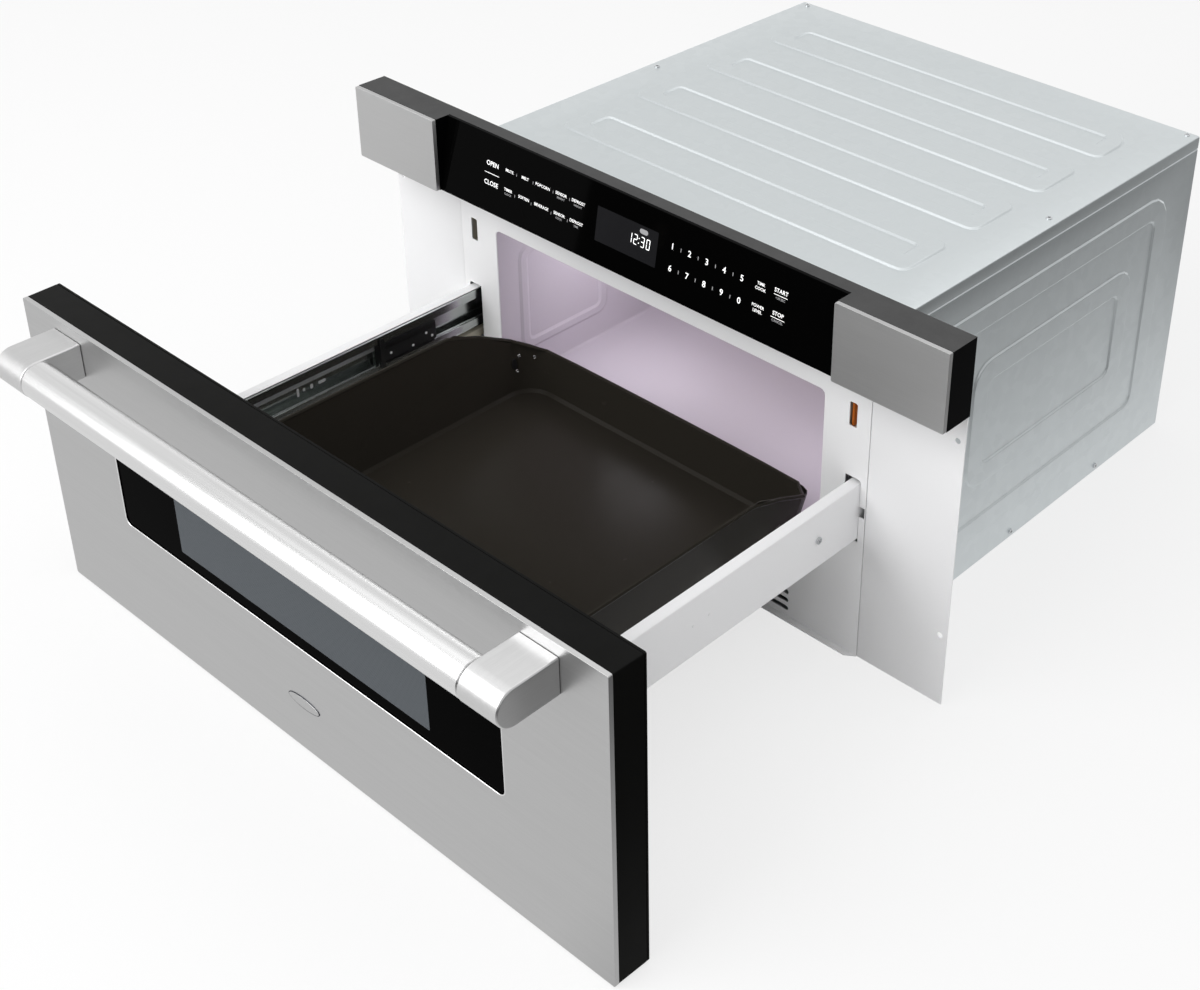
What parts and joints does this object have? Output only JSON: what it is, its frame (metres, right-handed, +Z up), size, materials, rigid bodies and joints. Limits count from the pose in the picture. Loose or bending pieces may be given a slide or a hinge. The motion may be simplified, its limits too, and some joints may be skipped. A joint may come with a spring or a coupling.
{
  "type": "microwave drawer",
  "caption": "Built-in drawer microwave oven: powered drawer with pan and windowed door, touch control panel, sheet-metal cabinet and mounting flaps.",
  "frame": {"origin": "middle of the cabinet underside", "axes": "+X to the right seen from the front, +Y to the back, +Z up; the drawer opens towards -Y"},
  "size_m": [0.761, 1.0461, 0.406],
  "materials": {
    "galvanised": "satin",
    "white_paint": "satin",
    "oven_paint": "satin",
    "brushed_steel": "brushed",
    "black_plastic": "satin",
    "black_glass": "gloss",
    "black_enamel": "gloss",
    "screen_metal": "satin",
    "zinc": "satin",
    "orange_plastic": "satin",
    "ivory_plastic": "satin",
    "copper_windings": "satin",
    "core_steel": "matte",
    "board_material": "matte",
    "mica_sheet": "matte"
  },
  "bodies": {
    "chassis": {"cabinet_top": "galvanised", "cabinet_side_right": "galvanised", "cabinet_side_left": "galvanised", "cabinet_back": "galvanised", "cabinet_base": "galvanised", "cord_gland": "black_plastic", "front_frame": "white_paint", "flap_right": "white_paint", "flap_left": "white_paint", "cavity_liner": "oven_paint", "stirrer_cover": "mica_sheet", "waveguide": "galvanised", "stirrer_motor": "zinc", "cavity_lamp": "ivory_plastic", "magnetron": "zinc", "transformer_core": "core_steel", "transformer_windings": "copper_windings", "hv_capacitor": "zinc", "fan_shroud": "galvanised", "fan_motor": "core_steel", "power_board": "board_material", "latch_holder_right": "ivory_plastic", "latch_holder_left": "ivory_plastic", "runner_fixed_right": "zinc", "runner_fixed_left": "zinc", "runner_brace_right": "galvanised", "runner_brace_left": "galvanised", "drive_gearbox": "core_steel", "control_housing": "black_plastic", "control_glass": "black_glass", "trim_end_right": "brushed_steel", "trim_end_left": "brushed_steel", "control_board": "board_material", "display_module": "black_plastic"},
    "drawer": {"door_skin": "brushed_steel", "door_frame": "black_plastic", "door_rear_cover": "black_plastic", "door_glass": "black_glass", "door_screen": "screen_metal", "door_inner_panel": "black_enamel", "handle_bar": "brushed_steel", "handle_bracket_right": "brushed_steel", "handle_bracket_left": "brushed_steel", "drawer_pan": "black_enamel", "rail_cover_right": "white_paint", "rail_cover_left": "white_paint", "runner_drawer_right": "zinc", "runner_drawer_left": "zinc", "drive_rack": "ivory_plastic", "latch_hook_right": "ivory_plastic", "latch_hook_left": "ivory_plastic"},
    "middle_runner_right": {"runner_middle_right": "zinc", "runner_buffer_right": "black_plastic"},
    "middle_runner_left": {"runner_middle_left": "zinc", "runner_buffer_left": "black_plastic"},
    "pinion": {"drive_pinion": "ivory_plastic"},
    "fan": {"fan_rotor": "black_plastic"},
    "stirrer": {"mode_stirrer": "zinc"},
    "lever_right": {"latch_lever_right": "orange_plastic"},
    "lever_left": {"latch_lever_left": "orange_plastic"}
  },
  "joints": [
    {"name": "drawer_slide", "type": "slide", "parent": "chassis", "child": "drawer", "axis": [0, 1, 0], "range_m": [0, 0.389]},
    {"name": "runner_right_slide", "type": "slide", "parent": "chassis", "child": "middle_runner_right", "axis": [0, 1, 0], "range_m": [0, 0.1365]},
    {"name": "runner_left_slide", "type": "slide", "parent": "chassis", "child": "middle_runner_left", "axis": [0, 1, 0], "range_m": [0, 0.1365]},
    {"name": "pinion_spin", "type": "hinge", "parent": "chassis", "child": "pinion", "pos_m": [-0.258, -0.2455, 0.1264], "axis": [-1, 0, 0], "range_deg": [0, 1860]},
    {"name": "fan_spin", "type": "hinge", "parent": "chassis", "child": "fan", "pos_m": [-0.083, 0.22, 0.236], "axis": [1, 0, 0], "continuous": true},
    {"name": "stirrer_spin", "type": "hinge", "parent": "chassis", "child": "stirrer", "pos_m": [0, -0.0435, 0.2715], "axis": [0, 0, 1], "continuous": true},
    {"name": "lever_right_push", "type": "slide", "parent": "chassis", "child": "lever_right", "axis": [-1, 0, 0], "range_m": [0, 0.003], "stiffness_N_per_m": 200},
    {"name": "lever_left_push", "type": "slide", "parent": "chassis", "child": "lever_left", "axis": [1, 0, 0], "range_m": [0, 0.003], "stiffness_N_per_m": 200}
  ],
  "couplings": [
    {"joint": "runner_right_slide", "follows": "drawer_slide", "ratio": 0.35},
    {"joint": "runner_left_slide", "follows": "drawer_slide", "ratio": 0.35},
    {"joint": "pinion_spin", "follows": "drawer_slide", "rad_per_m": 83.333}
  ]
}
